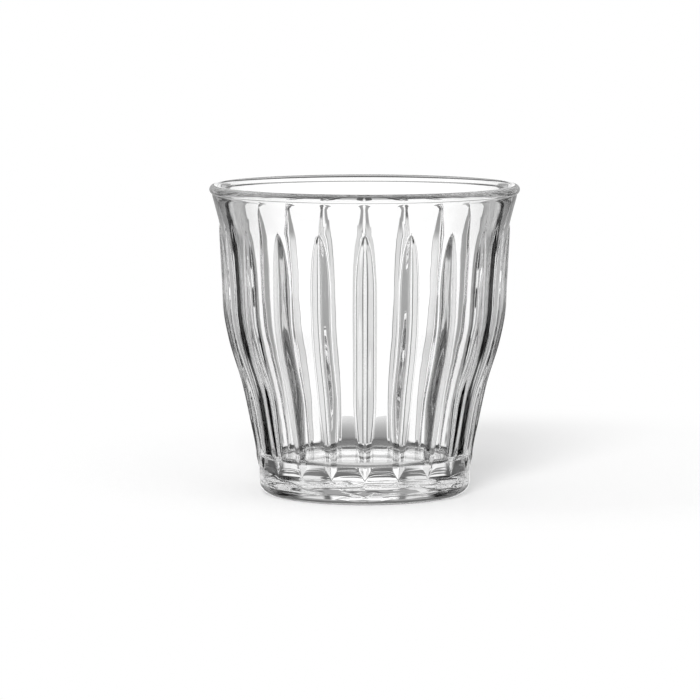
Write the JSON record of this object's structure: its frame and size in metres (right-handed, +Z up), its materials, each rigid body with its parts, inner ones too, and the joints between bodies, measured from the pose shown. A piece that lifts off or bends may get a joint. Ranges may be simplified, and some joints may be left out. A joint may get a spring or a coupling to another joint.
{
  "type": "coffee glass",
  "caption": "Clear pressed-glass coffee tumbler with a beaded rim, raised pointed ribs round a tapering body, and a thick plain foot.",
  "frame": {"origin": "on the glass's axis, in the plane that its foot rests on", "axes": "+Z up along the axis towards the rim; one rib faces -Y"},
  "size_m": [0.086, 0.086, 0.086],
  "materials": {
    "clear_glass": "clear, polished"
  },
  "bodies": {
    "root": {"glass_body": "clear_glass"}
  },
  "joints": []
}
